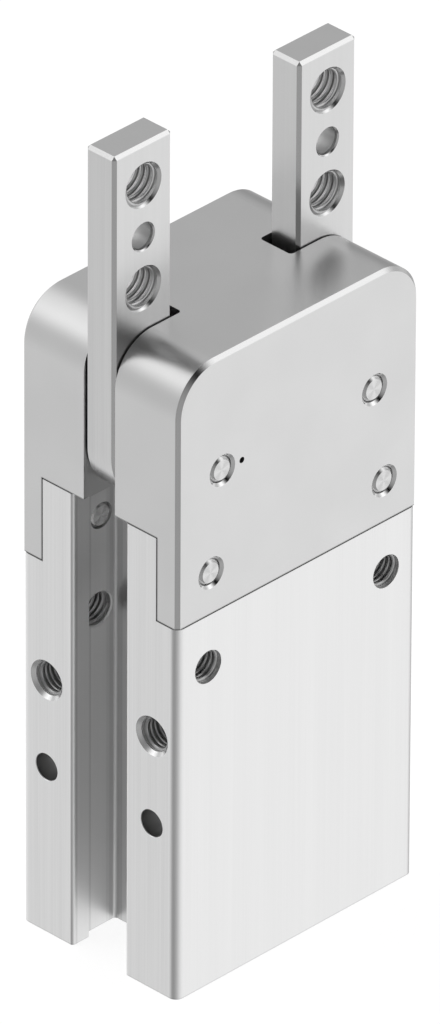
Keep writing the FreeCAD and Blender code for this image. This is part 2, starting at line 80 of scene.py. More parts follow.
# The direction towards each panel's middle, in the part's frame, and the panel's level there.
panels = (
    ((-0.525, 0.597, 0.606), 1.07), ((0.607, -0.525, 0.597), 1.09), ((0.0, 0.6, 0.8), 0.82),
    ((0.607, 0.597, 0.525), 0.36), ((0.607, 0.597, -0.525), 0.61), ((0.607, -0.597, -0.525), 0.81),
    ((-0.607, 0.597, -0.525), 0.55), ((-0.597, -0.607, -0.525), 0.13), ((0.0, -0.7, -0.7), 0.64),
    ((0.0, 0.7, -0.7), 0.90), ((0.0, -1.0, 0.0), 0.87), ((1.0, 0.0, 0.0), 0.45),
    ((0.0, 1.0, 0.0), 0.65), ((-0.8, 0.6, 0.0), 0.44), ((0.7, -0.7, 0.0), 0.74),
    ((-1.0, 0.0, 0.0), -0.12), ((0.0, -0.7, 0.7), -0.33), ((-0.7, -0.7, 0.0), 0.12),
    ((-0.7, 0.0, -0.7), -0.04),
)

world = bpy.data.worlds.new("studio")
scene.world = world
world.use_nodes = True
sky = world.node_tree
sky.nodes.clear()
direction = sky.nodes.new("ShaderNodeTexCoord")
light = None
for towards, level in panels:
    facing = sky.nodes.new("ShaderNodeVectorMath")
    facing.operation = "DOT_PRODUCT"
    facing.inputs[1].default_value = Vector(towards).normalized()
    sky.links.new(direction.outputs["Generated"], facing.inputs[0])
    ahead = sky.nodes.new("ShaderNodeMath")
    ahead.operation = "MAXIMUM"
    ahead.inputs[1].default_value = 0.0
    sky.links.new(facing.outputs["Value"], ahead.inputs[0])
    fall = sky.nodes.new("ShaderNodeMath")
    fall.operation = "POWER"
    fall.inputs[1].default_value = panel_spread
    sky.links.new(ahead.outputs["Value"], fall.inputs[0])
    added = sky.nodes.new("ShaderNodeMath")
    added.operation = "MULTIPLY_ADD"
    added.inputs[1].default_value = level
    added.inputs[2].default_value = room_level
    sky.links.new(fall.outputs["Value"], added.inputs[0])
    if light is not None:
        sky.links.new(light, added.inputs[2])
    light = added.outputs["Value"]
seen = sky.nodes.new("ShaderNodeLightPath")
brightness = sky.nodes.new("ShaderNodeMix")
brightness.inputs["B"].default_value = 1.0
backdrop = sky.nodes.new("ShaderNodeBackground")
backdrop.inputs["Color"].default_value = (1.0, 1.0, 1.0, 1.0)
sky_out = sky.nodes.new("ShaderNodeOutputWorld")
sky.links.new(light, brightness.inputs["A"])
sky.links.new(seen.outputs["Is Camera Ray"], brightness.inputs["Factor"])
sky.links.new(brightness.outputs["Result"], backdrop.inputs["Strength"])
sky.links.new(backdrop.outputs["Background"], sky_out.inputs["Surface"])

floor_size = 6.0
floor_level = -0.00002
floor_corners = ((-1, -1), (1, -1), (1, 1), (-1, 1))
floor_mesh = bpy.data.meshes.new("floor")
floor_mesh.from_pydata([(x * floor_size, y * floor_size, floor_level) for x, y in floor_corners],
                       [], [(0, 1, 2, 3)])
floor = bpy.data.objects.new("floor", floor_mesh)
scene.collection.objects.link(floor)
paint = bpy.data.materials.new("floor_white")
paint.use_nodes = True
ground = paint.node_tree
ground.nodes.clear()
matt = ground.nodes.new("ShaderNodeBsdfDiffuse")
matt.inputs["Color"].default_value = (0.30, 0.30, 0.30, 1.0)
lift = ground.nodes.new("ShaderNodeEmission")
lift.inputs["Strength"].default_value = 0.885
lit = ground.nodes.new("ShaderNodeAddShader")
clear = ground.nodes.new("ShaderNodeBsdfTransparent")
ray = ground.nodes.new("ShaderNodeLightPath")
shown = ground.nodes.new("ShaderNodeMixShader")
ground_out = ground.nodes.new("ShaderNodeOutputMaterial")
# A ray from below meets the floor's back face, for which the floor is clear.
ground.links.new(matt.outputs["BSDF"], lit.inputs[0])
ground.links.new(lift.outputs["Emission"], lit.inputs[1])
side = ground.nodes.new("ShaderNodeNewGeometry")
above = ground.nodes.new("ShaderNodeMath")
above.operation = "SUBTRACT"
above.use_clamp = True
ground.links.new(ray.outputs["Is Camera Ray"], above.inputs[0])
ground.links.new(side.outputs["Backfacing"], above.inputs[1])
ground.links.new(above.outputs["Value"], shown.inputs["Fac"])
ground.links.new(clear.outputs["BSDF"], shown.inputs[1])
ground.links.new(lit.outputs["Shader"], shown.inputs[2])
ground.links.new(shown.outputs["Shader"], ground_out.inputs["Surface"])
floor_mesh.materials.append(paint)

# Body: one length of extruded aluminium with an undercut slot down each side, sawn, milled and
# clear anodised. The extrusion die leaves fine lines along its whole length.


def pattern_group(name, inputs, outputs):
    """An empty shader node group with a Place socket, number sockets and number outputs."""
    group = bpy.data.node_groups.new(name, "ShaderNodeTree")
    group.interface.new_socket("Place", in_out="INPUT", socket_type="NodeSocketVector")
    for socket, value in inputs.items():
        item = group.interface.new_socket(socket, in_out="INPUT", socket_type="NodeSocketFloat")
        item.default_value = value
    for socket in outputs:
        group.interface.new_socket(socket, in_out="OUTPUT", socket_type="NodeSocketFloat")
    return group, group.nodes.new("NodeGroupInput"), group.nodes.new("NodeGroupOutput")


def drawn_lines():
    """Fine lines along Z and broader faint bands, at full strength beyond Flank on either side."""
    sizes = {"Lines": 3400.0, "Stretch": 0.006, "Bands": 300.0, "Flank": 0.0}
    bands_share = 0.35
    strength_between = 0.4
    middle_tone = 0.5
    group, given, made = pattern_group("drawn_lines", sizes, ("Tone", "Relief"))
    sums = []
    for size, detail in (("Lines", 3.0), ("Bands", 1.0)):
        along = group.nodes.new("ShaderNodeMath")
        along.operation = "MULTIPLY"
        group.links.new(given.outputs[size], along.inputs[0])
        group.links.new(given.outputs["Stretch"], along.inputs[1])
        scale = group.nodes.new("ShaderNodeCombineXYZ")
        group.links.new(given.outputs[size], scale.inputs["X"])
        group.links.new(given.outputs[size], scale.inputs["Y"])
        group.links.new(along.outputs["Value"], scale.inputs["Z"])
        stretched = group.nodes.new("ShaderNodeVectorMath")
        stretched.operation = "MULTIPLY"
        group.links.new(given.outputs["Place"], stretched.inputs[0])
        group.links.new(scale.outputs["Vector"], stretched.inputs[1])
        noise = group.nodes.new("ShaderNodeTexNoise")
        noise.inputs["Scale"].default_value = 1.0
        noise.inputs["Detail"].default_value = detail
        group.links.new(stretched.outputs["Vector"], noise.inputs["Vector"])
        sums.append(noise.outputs["Fac"])
    both = group.nodes.new("ShaderNodeMix")
    both.inputs["Factor"].default_value = bands_share
    group.links.new(sums[0], both.inputs["A"])
    group.links.new(sums[1], both.inputs["B"])
    split = group.nodes.new("ShaderNodeSeparateXYZ")
    group.links.new(given.outputs["Place"], split.inputs["Vector"])
    out = group.nodes.new("ShaderNodeMath")
    out.operation = "ABSOLUTE"
    group.links.new(split.outputs["X"], out.inputs[0])
    beyond = group.nodes.new("ShaderNodeMath")
    beyond.operation = "GREATER_THAN"
    group.links.new(out.outputs["Value"], beyond.inputs[0])
    group.links.new(given.outputs["Flank"], beyond.inputs[1])
    amount = group.nodes.new("ShaderNodeMapRange")
    amount.inputs["To Min"].default_value = strength_between
    group.links.new(beyond.outputs["Value"], amount.inputs["Value"])
    tone = group.nodes.new("ShaderNodeMix")
    tone.inputs["A"].default_value = middle_tone
    group.links.new(amount.outputs["Result"], tone.inputs["Factor"])
    group.links.new(both.outputs["Result"], tone.inputs["B"])
    group.links.new(tone.outputs["Result"], made.inputs["Tone"])
    group.links.new(sums[0], made.inputs["Relief"])
    return group


def grey(level):
    """A neutral colour."""
    return (level, level, level)


def metal(name, pattern, sizes, light, dark, gloss, relief, metallic=1.0):
    """A finish varied by a pattern, whose tone runs from the dark colour and the rougher gloss to
    the light colour and the smoother gloss. Relief is the bump's strength and its height."""
    least_tone, most_tone = 0.25, 0.75
    smooth, rough = gloss
    strength, height = relief
    material = bpy.data.materials.new(name)
    material.use_nodes = True
    tree = material.node_tree
    shader = tree.nodes["Principled BSDF"]
    shader.inputs["Metallic"].default_value = metallic
    place = tree.nodes.new("ShaderNodeTexCoord")
    marks = tree.nodes.new("ShaderNodeGroup")
    marks.name = "marks"
    marks.node_tree = pattern
    for socket, value in sizes.items():
        marks.inputs[socket].default_value = value
    colour = tree.nodes.new("ShaderNodeMix")
    colour.data_type = "RGBA"
    colour.inputs["A"].default_value = (*dark, 1.0)
    colour.inputs["B"].default_value = (*light, 1.0)
    shine = tree.nodes.new("ShaderNodeMapRange")
    shine.inputs["From Min"].default_value = least_tone
    shine.inputs["From Max"].default_value = most_tone
    shine.inputs["To Min"].default_value = rough
    shine.inputs["To Max"].default_value = smooth
    bump = tree.nodes.new("ShaderNodeBump")
    bump.inputs["Strength"].default_value = strength
    bump.inputs["Distance"].default_value = height
    tree.links.new(place.outputs["Object"], marks.inputs["Place"])
    tree.links.new(marks.outputs["Tone"], colour.inputs["Factor"])
    tree.links.new(marks.outputs["Tone"], shine.inputs["Value"])
    tree.links.new(marks.outputs["Relief"], bump.inputs["Height"])
    tree.links.new(colour.outputs["Result"], shader.inputs["Base Color"])
    tree.links.new(shine.outputs["Result"], shader.inputs["Roughness"])
    tree.links.new(bump.outputs["Normal"], shader.inputs["Normal"])
    return material


def coat(node, material):
    """Give a CAD piece its finish."""
    for slot in frame["nodes"][node].material_slots:
        slot.material = material


def hole_marks():
    """Whether a point is on a round hole's wall, or on the bevel round the hole's mouth."""
    group, given, made = pattern_group("hole_marks", {"Bore": 0.0, "Rim": 0.0}, ("Wall", "Bevel"))
    for socket in ("Across", "Centre"):
        group.interface.new_socket(socket, in_out="INPUT", socket_type="NodeSocketVector")
    flat = group.nodes.new("ShaderNodeVectorMath")
    flat.operation = "MULTIPLY"
    group.links.new(given.outputs["Place"], flat.inputs[0])
    group.links.new(given.outputs["Across"], flat.inputs[1])
    away = group.nodes.new("ShaderNodeVectorMath")
    away.operation = "DISTANCE"
    group.links.new(flat.outputs["Vector"], away.inputs[0])
    group.links.new(given.outputs["Centre"], away.inputs[1])
    inside = []
    for socket in ("Bore", "Rim"):
        within = group.nodes.new("ShaderNodeMath")
        within.operation = "LESS_THAN"
        group.links.new(away.outputs["Value"], within.inputs[0])
        group.links.new(given.outputs[socket], within.inputs[1])
        inside.append(within.outputs["Value"])
    bevel = group.nodes.new("ShaderNodeMath")
    bevel.operation = "SUBTRACT"
    group.links.new(inside[1], bevel.inputs[0])
    group.links.new(inside[0], bevel.inputs[1])
    group.links.new(inside[0], made.inputs["Wall"])
    group.links.new(bevel.outputs["Value"], made.inputs["Bevel"])
    return group


def drilled(material, holes, **finishes):
    """Give the holes' walls and bevels their own grey and gloss. The greys are painted light and
    shade: they set how light or dark the walls and rims look. A hole is the plane across it, its
    centre in that plane, its radius, its mouth's radius, and whether it repeats on all sides."""
    margin = 0.00001
    tree = material.node_tree
    shader = tree.nodes["Principled BSDF"]
    place = tree.nodes["marks"].inputs["Place"].links[0].from_socket
    folded = tree.nodes.new("ShaderNodeVectorMath")
    folded.operation = "ABSOLUTE"
    tree.links.new(place, folded.inputs[0])
    masks = {"Wall": None, "Bevel": None}
    for across, centre, bore, rim, repeats in holes:
        hole = tree.nodes.new("ShaderNodeGroup")
        hole.node_tree = hole_shape
        hole.inputs["Across"].default_value = across
        hole.inputs["Centre"].default_value = [a * b for a, b in zip(across, centre)]
        hole.inputs["Bore"].default_value = bore + margin
        hole.inputs["Rim"].default_value = rim + margin
        tree.links.new(folded.outputs["Vector"] if repeats else place, hole.inputs["Place"])
        for output, mask in masks.items():
            masks[output] = hole.outputs[output]
            if mask:
                either = tree.nodes.new("ShaderNodeMath")
                either.operation = "MAXIMUM"
                tree.links.new(mask, either.inputs[0])
                tree.links.new(hole.outputs[output], either.inputs[1])
                masks[output] = either.outputs["Value"]
    for output, (level, gloss) in finishes.items():
        for socket, kind, value in (("Base Color", "RGBA", (*grey(level), 1.0)),
                                    ("Roughness", "FLOAT", gloss)):
            change = tree.nodes.new("ShaderNodeMix")
            change.data_type = kind
            change.inputs["B"].default_value = value
            tree.links.new(masks[output], change.inputs["Factor"])
            tree.links.new(shader.inputs[socket].links[0].from_socket, change.inputs["A"])
            tree.links.new(change.outputs["Result"], shader.inputs[socket])


def hole_row(name, along, depth=0.0):
    """The first hole of a bolt pattern in the record, at a depth of its own on the holes' axis, and
    the step to the second hole. The record gives the spacing in millimetres."""
    mount = mounts[name]
    spacing = sum(size for key, size in mount["dims"].items() if key.startswith("spacing")) / 1000
    step = Vector(along) * spacing
    axis = Vector(mount["axis"])
    centre = Vector(mount["pos_m"])
    return centre - centre.project(axis) + axis * depth - step / 2, step


lines = drawn_lines()
hole_shape = hole_marks()
mounts = {mount["name"]: mount for mount in frame["record"]["mounts"]}
along_x = (0.0, 1.0, 1.0)
along_y = (1.0, 0.0, 1.0)
half_width, half_depth, tongue_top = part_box("body")[1]
flank = half_width - 0.0004
dowel_radius = mounts["side_dowel_right_back"]["dims"]["r_mm"] / 1000
m5_radius = mounts["front_threads"]["dims"]["hole_r_mm"] / 1000
side_holes, side_step = hole_row("side_threads_right", (0, 1, 0))
face_holes, face_step = hole_row("front_threads", (1, 0, 0))
anodised_body = metal("anodised_body", lines, {"Flank": flank}, light=grey(0.985), dark=grey(0.81),
                      gloss=(0.39, 0.47), relief=(0.10, 0.00002))
side_dowel = (along_x, mounts["side_dowel_right_back"]["pos_m"], dowel_radius, 0.0021, True)
side_thread = (along_x, side_holes + side_step, m5_radius, 0.003025, True)
face_thread = (along_y, face_holes + face_step, m5_radius, m5_radius, True)
# The body's hole walls are painted a light grey, which shows as painted light deep in the dowel
# holes. The bevels are a glossier grey near the body's darker tone.
drilled(anodised_body, (side_dowel, side_thread, face_thread), Wall=(0.98, 0.50), Bevel=(0.82, 0.20))


def shade(material, low, high, factor, fade=0.0, gloss=None):
    """Paint light and shade into a material's colour: multiply it by a factor inside a box and its
    mirror images about the middle. A factor below one paints shade and a factor above one paints
    light. The change dies away inwards along X over the fade's length. The box may have its own
    gloss."""
    tree = material.node_tree
    shader = tree.nodes["Principled BSDF"]
    place = tree.nodes["marks"].inputs["Place"].links[0].from_socket
    folded = tree.nodes.new("ShaderNodeVectorMath")
    folded.operation = "ABSOLUTE"
    tree.links.new(place, folded.inputs[0])
    split = tree.nodes.new("ShaderNodeSeparateXYZ")
    tree.links.new(folded.outputs["Vector"], split.inputs["Vector"])
    within = None
    for axis, bottom, top in zip("XYZ", low, high):
        centred = tree.nodes.new("ShaderNodeMath")
        centred.operation = "COMPARE"
        centred.inputs[1].default_value = (bottom + top) / 2
        centred.inputs[2].default_value = (top - bottom) / 2
        tree.links.new(split.outputs[axis], centred.inputs[0])
        if within is None:
            within = centred.outputs["Value"]
            continue
        both = tree.nodes.new("ShaderNodeMath")
        both.operation = "MULTIPLY"
        tree.links.new(within, both.inputs[0])
        tree.links.new(centred.outputs["Value"], both.inputs[1])
        within = both.outputs["Value"]
    if fade:
        strength = tree.nodes.new("ShaderNodeMapRange")
        strength.inputs["From Min"].default_value = high[0] - fade
        strength.inputs["From Max"].default_value = high[0]
        tree.links.new(split.outputs["X"], strength.inputs["Value"])
        faded = tree.nodes.new("ShaderNodeMath")
        faded.operation = "MULTIPLY"
        tree.links.new(within, faded.inputs[0])
        tree.links.new(strength.outputs["Result"], faded.inputs[1])
        within = faded.outputs["Value"]
    toned = tree.nodes.new("ShaderNodeMix")
    toned.data_type = "RGBA"
    toned.blend_type = "MULTIPLY"
    toned.inputs["B"].default_value = (*grey(factor), 1.0)
    tree.links.new(within, toned.inputs["Factor"])
    tree.links.new(shader.inputs["Base Color"].links[0].from_socket, toned.inputs["A"])
    tree.links.new(toned.outputs["Result"], shader.inputs["Base Color"])
    if gloss is not None:
        glossed = tree.nodes.new("ShaderNodeMix")
        glossed.inputs["B"].default_value = gloss
        tree.links.new(within, glossed.inputs["Factor"])
        tree.links.new(shader.inputs["Roughness"].links[0].from_socket, glossed.inputs["A"])
        tree.links.new(glossed.outputs["Result"], shader.inputs["Roughness"])


outside_x = half_width + 0.0005
outside_y = half_depth + 0.00025
below_top, above_top = tongue_top - 0.0002, tongue_top + 0.0002
# Painted shade: the slots' insides are a little darker than the outer faces.
shade(anodised_body, low=(0.0120, 0.0, 0.0002), high=(flank, 0.0095, 0.0800), factor=0.94)
# Painted shade: faint darker lines follow the slots' edges and inner corners, where shade gathers.
# The top of the tongue is painted darker too, most of all near its middle under the jaws' feet, and
# so is the body's lower rim.
for low, high, factor in (
        ((0.0221, 0.0045, 0.0), (0.02245, 0.0053, tongue_top), 0.86),  # the mouth's edge
        ((0.0185, 0.0058, 0.0), (0.0199, 0.0062, tongue_top), 0.88),  # the undercut's outer corner
        ((0.0143, 0.0058, 0.0), (0.0150, 0.0062, tongue_top), 0.91),  # its inner corner
        ((0.0143, 0.0058, 0.0), (0.0156, 0.0062, tongue_top), 0.93),  # and a little further out
        ((0.0136, 0.0047, 0.0), (0.0139, 0.0056, tongue_top), 0.88),  # the floor's edge
        ((0.0136, 0.0038, 0.0), (0.0139, 0.0056, tongue_top), 0.96),  # and a little further in
        ((0.0, 0.0, below_top), (0.0185, 0.0095, above_top), 0.90),  # the tongue's top, mid part
        ((0.0, 0.0, below_top), (0.0205, 0.0095, above_top), 0.93),  # and nearly all its width
        ((0.0, 0.0, 0.00002), (outside_x, outside_y, 0.00014), 0.80)):  # the lower rim
    shade(anodised_body, low, high, factor)
# Painted shade: the dowel holes' insides are dark at the mouth and grow lighter towards the bottom.
shade(anodised_body, low=(0.0190, 0.0079, 0.0244), high=(0.02295, 0.0121, 0.0286), factor=0.25,
      fade=0.0029)
coat("body", anodised_body)

# Cap: milled from solid, then blasted and clear anodised, which leaves an even, fine-grained satin
# surface that is a little darker than the body. Four pins hold it on the body's tongue.


def blasted_grain():
    """Fine even grain, with faint clouds across it."""
    sizes = {"Grain": 9000.0, "Clouds": 90.0}
    clouds_share = 0.5
    group, given, made = pattern_group("blasted_grain", sizes, ("Tone", "Relief"))
    sums = []
    for size in sizes:
        noise = group.nodes.new("ShaderNodeTexNoise")
        noise.inputs["Detail"].default_value = 2.0
        group.links.new(given.outputs["Place"], noise.inputs["Vector"])
        group.links.new(given.outputs[size], noise.inputs["Scale"])
        sums.append(noise.outputs["Fac"])
    both = group.nodes.new("ShaderNodeMix")
    both.inputs["Factor"].default_value = clouds_share
    group.links.new(sums[0], both.inputs["A"])
    group.links.new(sums[1], both.inputs["B"])
    group.links.new(both.outputs["Result"], made.inputs["Tone"])
    group.links.new(sums[0], made.inputs["Relief"])
    return group


grain = blasted_grain()
anodised_cap = metal("anodised_cap", grain, {}, light=grey(0.692), dark=grey(0.632),
                     gloss=(0.27, 0.34), relief=(0.10, 0.00002))
# Painted highlight: the chamfers round the front and back faces are a little brighter than the faces.
# They are smoother as well.
chamfer_gloss = 0.19
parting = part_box("cap")[0].z - 0.00014
chamfer_start, chamfer_end = half_depth - 0.00054, half_depth - 0.00001
shade(anodised_cap, low=(0.0, chamfer_start, parting), high=(outside_x, chamfer_end, 0.1000),
      factor=1.02, gloss=chamfer_gloss)
hole_room = 0.00002
pin_mouth = 0.002425
pin_holes = []
for pin in ("pivot_pin_right", "cap_pin_front_right"):
    low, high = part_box(pin)
    pin_holes.append((along_y, (low + high) / 2, (high - low).x / 2 + hole_room, pin_mouth, True))
# The pin holes' walls are painted darker than the cap, as painted shade, and their bevels lighter and
# glossier, as a painted highlight.
drilled(anodised_cap, pin_holes, Wall=(0.45, 0.40), Bevel=(0.78, 0.14))
# The small mark's hole is painted dark inside, as painted shade for its depth. The paint also lands
# on the cap's back face there, as a dark dot.
mark_radius = 0.00045
mark = (along_y, (-0.01085, 0.0, 0.08075), mark_radius, mark_radius, False)
drilled(anodised_cap, (mark,), Wall=(0.20, 0.60))
# Painted shade: cap and body are both darker in a narrow band along their parting line, where shade
# falls in the seam. The band runs level over the front and back faces, upright along the skirts'
# edges, and level again below the cap's ends.
skirt_edge = 0.0108
near_side = half_width - 0.0005
for finish, below, above, edge_low, edge_high in (
        (anodised_cap, 0.0, 0.00028, skirt_edge, 0.01103),
        (anodised_body, -0.00008, 0.0002, 0.01067, skirt_edge)):
    shade(finish, (0.0, 0.0107, parting + below), (outside_x, outside_y, parting + above), 0.58)
    shade(finish, (near_side, 0.0, tongue_top + below), (outside_x, 0.0109, tongue_top + above), 0.62)
    shade(finish, (near_side, edge_low, parting), (outside_x, edge_high, above_top), 0.58)
coat("cap", anodised_cap)

# Jaws: ground steel with a satin nickel plating. Each finger carries two tapped holes and a dowel
# hole, and its rounded foot turns on a pin inside the cap.
satin_jaw = metal("satin_jaw", lines, {"Lines": 4200.0, "Flank": 0.0224}, light=grey(0.729),
                  dark=grey(0.579), gloss=(0.27, 0.34), relief=(0.08, 0.00002))
m6_radius = mounts["finger_threads_right"]["dims"]["hole_r_mm"] / 1000
m6_mouth = 0.0034
finger_holes, finger_step = hole_row("finger_threads_right", (0, 0, 1))
finger_dowel = (along_y, mounts["finger_dowel_right"]["pos_m"], dowel_radius, 0.0022, True)
upper_thread = (along_y, finger_holes + finger_step, m6_radius, m6_mouth, True)
lower_thread = (along_y, finger_holes, m6_radius, m6_mouth, True)
# Painted highlight: the chamfers round the fingers' faces are a little brighter than the faces. They
# are smoother as well.
jaw_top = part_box("jaw_right")[1]
shade(satin_jaw, low=(0.0, jaw_top.y - 0.000515, 0.0600),
      high=(outside_x, jaw_top.y - 0.000035, jaw_top.z + 0.0005), factor=1.06, gloss=chamfer_gloss)
# The fingers' hole walls and bevels are a lighter grey than their faces: painted light on the walls
# and a painted highlight on the bevels.
drilled(satin_jaw, (finger_dowel, upper_thread, lower_thread), Wall=(0.70, 0.45),
        Bevel=(0.74, 0.20))
# Painted shade: the dowel hole has a darker ring just inside each of its mouths.
shade(satin_jaw, low=(0.0154, 0.0021, 0.1111), high=(0.0196, 0.00252, 0.1153), factor=0.55)
coat("jaw_left", satin_jaw)
coat("jaw_right", satin_jaw)

# Threads: the ridges cut in the tapped holes, M5 in the body and M6 in the fingers. One spiral of
# the real pitch is repeated at each hole of a row, and every row is one piece.


def thread_tree():
    """Geometry nodes that put a spiral ridge at each hole of a row. Crest and Depth are the width of
    the ridge's top and its height, as parts of the pitch."""
    foot_width = 0.875
    steps_a_turn = 40
    run_out_turns = 0.15
    least_size = 0.02
    tree = bpy.data.node_groups.new("thread_row", "GeometryNodeTree")
    sockets = (("Hole", "Vector"), ("Step", "Vector"), ("Turn", "Vector"), ("Holes", "Int"),
               ("Radius", "Float"), ("Pitch", "Float"), ("Turns", "Float"), ("Crest", "Float"),
               ("Depth", "Float"), ("Finish", "Material"))
    tree.interface.new_socket("Geometry", in_out="INPUT", socket_type="NodeSocketGeometry")
    for name, kind in sockets:
        tree.interface.new_socket(name, in_out="INPUT", socket_type="NodeSocket" + kind)
    tree.interface.new_socket("Geometry", in_out="OUTPUT", socket_type="NodeSocketGeometry")
    given = tree.nodes.new("NodeGroupInput")
    made = tree.nodes.new("NodeGroupOutput")

    def times(value, factor):
        """A number socket times another socket or a plain number."""
        node = tree.nodes.new("ShaderNodeMath")
        node.operation = "MULTIPLY"
        tree.links.new(value, node.inputs[0])
        if isinstance(factor, float):
            node.inputs[1].default_value = factor
        else:
            tree.links.new(factor, node.inputs[1])
        return node.outputs["Value"]

    spiral = tree.nodes.new("GeometryNodeCurveSpiral")
    spiral.inputs["Resolution"].default_value = steps_a_turn
    spiral.inputs["Reverse"].default_value = True
    tree.links.new(given.outputs["Turns"], spiral.inputs["Rotations"])
    tree.links.new(given.outputs["Radius"], spiral.inputs["Start Radius"])
    tree.links.new(given.outputs["Radius"], spiral.inputs["End Radius"])
    tree.links.new(times(given.outputs["Turns"], given.outputs["Pitch"]), spiral.inputs["Height"])
    upright = tree.nodes.new("GeometryNodeSetCurveNormal")
    upright.mode = "Z_UP"
    ridge = tree.nodes.new("GeometryNodeCurvePrimitiveQuadrilateral")
    ridge.mode = "TRAPEZOID"
    ridge.inputs["Offset"].default_value = 0.0
    tree.links.new(times(given.outputs["Pitch"], foot_width), ridge.inputs["Bottom Width"])
    tree.links.new(times(given.outputs["Pitch"], given.outputs["Crest"]), ridge.inputs["Top Width"])
    tree.links.new(times(given.outputs["Pitch"], given.outputs["Depth"]), ridge.inputs["Height"])
    spot = tree.nodes.new("GeometryNodeInputPosition")
    parts = tree.nodes.new("ShaderNodeSeparateXYZ")
    tree.links.new(spot.outputs["Position"], parts.inputs["Vector"])
    raised = tree.nodes.new("ShaderNodeMath")
    raised.operation = "GREATER_THAN"
    raised.inputs[1].default_value = 0.0
    tree.links.new(parts.outputs["Y"], raised.inputs[0])
    crest = tree.nodes.new("GeometryNodeStoreNamedAttribute")
    crest.inputs["Name"].default_value = "crest"
    tree.links.new(ridge.outputs["Curve"], crest.inputs["Geometry"])
    tree.links.new(raised.outputs["Value"], crest.inputs["Value"])
    # The ridge stands on the radius and points inwards.
    sink = tree.nodes.new("ShaderNodeCombineXYZ")
    height = times(given.outputs["Pitch"], given.outputs["Depth"])
    tree.links.new(times(height, -0.5), sink.inputs["X"])
    inwards = tree.nodes.new("GeometryNodeTransform")
    inwards.inputs["Rotation"].default_value = (0.0, 0.0, math.pi / 2)
    tree.links.new(sink.outputs["Vector"], inwards.inputs["Translation"])
    passed = tree.nodes.new("GeometryNodeSplineParameter")
    left = tree.nodes.new("ShaderNodeMath")
    left.operation = "SUBTRACT"
    left.inputs[0].default_value = 1.0
    tree.links.new(passed.outputs["Factor"], left.inputs[1])
    nearest = tree.nodes.new("ShaderNodeMath")
    nearest.operation = "MINIMUM"
    tree.links.new(passed.outputs["Factor"], nearest.inputs[0])
    tree.links.new(left.outputs["Value"], nearest.inputs[1])
    run_out = tree.nodes.new("ShaderNodeMapRange")
    run_out.inputs["To Min"].default_value = least_size
    run_out.inputs["From Max"].default_value = run_out_turns
    tree.links.new(times(nearest.outputs["Value"], given.outputs["Turns"]), run_out.inputs["Value"])
    sweep = tree.nodes.new("GeometryNodeCurveToMesh")
    tree.links.new(run_out.outputs["Result"], sweep.inputs["Scale"])
    sweep.inputs["Fill Caps"].default_value = True
    turned = tree.nodes.new("GeometryNodeTransform")
    row = tree.nodes.new("GeometryNodeMeshLine")
    placed = tree.nodes.new("GeometryNodeInstanceOnPoints")
    real = tree.nodes.new("GeometryNodeRealizeInstances")
    finish = tree.nodes.new("GeometryNodeSetMaterial")
    tree.links.new(spiral.outputs["Curve"], upright.inputs["Curve"])
    tree.links.new(upright.outputs["Curve"], sweep.inputs["Curve"])
    tree.links.new(crest.outputs["Geometry"], inwards.inputs["Geometry"])
    tree.links.new(inwards.outputs["Geometry"], sweep.inputs["Profile Curve"])
    tree.links.new(sweep.outputs["Mesh"], turned.inputs["Geometry"])
    tree.links.new(given.outputs["Turn"], turned.inputs["Rotation"])
    tree.links.new(given.outputs["Holes"], row.inputs["Count"])
    tree.links.new(given.outputs["Hole"], row.inputs["Start Location"])
    tree.links.new(given.outputs["Step"], row.inputs["Offset"])
    tree.links.new(row.outputs["Mesh"], placed.inputs["Points"])
    tree.links.new(turned.outputs["Geometry"], placed.inputs["Instance"])
    tree.links.new(placed.outputs["Instances"], real.inputs["Geometry"])
    tree.links.new(real.outputs["Geometry"], finish.inputs["Geometry"])
    tree.links.new(given.outputs["Finish"], finish.inputs["Material"])
    tree.links.new(finish.outputs["Geometry"], made.inputs["Geometry"])
    return tree


def thread_row(name, body, slot, mount, along, depth, **values):
    """One row of threads as a plain mesh that rides on a body. Depth is the place of the threads'
    inner ends on the axis of the mount's holes."""
    values["Hole"], values["Step"] = hole_row(mount, along, depth)
    values["Turn"] = towards[tuple(mounts[mount]["axis"])]
    seed = bpy.data.objects.new(name + "_seed", bpy.data.meshes.new(name + "_seed"))
    scene.collection.objects.link(seed)
    grow = seed.modifiers.new("threads", "NODES")
    grow.node_group = thread_shape
    for item in thread_shape.interface.items_tree:
        if item.in_out == "INPUT" and item.name in values:
            grow[item.identifier] = values[item.name]
    bpy.context.view_layer.update()
    evaluated = seed.evaluated_get(bpy.context.evaluated_depsgraph_get())
    mesh = bpy.data.meshes.new_from_object(evaluated)
    bpy.data.objects.remove(seed)
    piece = bpy.data.objects.new(name, mesh)
    scene.collection.objects.link(piece)
    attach(piece, body)


def paint_crest_highlights(material, level):
    """Paint a highlight on a thread's crests: give them a lighter grey than its flanks."""
    edge_start, edge_end = 0.90, 0.98
    tree = material.node_tree
    shader = tree.nodes["Principled BSDF"]
    height = tree.nodes.new("ShaderNodeAttribute")
    height.attribute_name = "crest"
    edge = tree.nodes.new("ShaderNodeMapRange")
    edge.inputs["From Min"].default_value = edge_start
    edge.inputs["From Max"].default_value = edge_end
    change = tree.nodes.new("ShaderNodeMix")
    change.data_type = "RGBA"
    change.inputs["B"].default_value = (*grey(level), 1.0)
    tree.links.new(height.outputs["Fac"], edge.inputs["Value"])
    tree.links.new(edge.outputs["Result"], change.inputs["Factor"])
    tree.links.new(shader.inputs["Base Color"].links[0].from_socket, change.inputs["A"])
    tree.links.new(change.outputs["Result"], shader.inputs["Base Color"])


thread_shape = thread_tree()
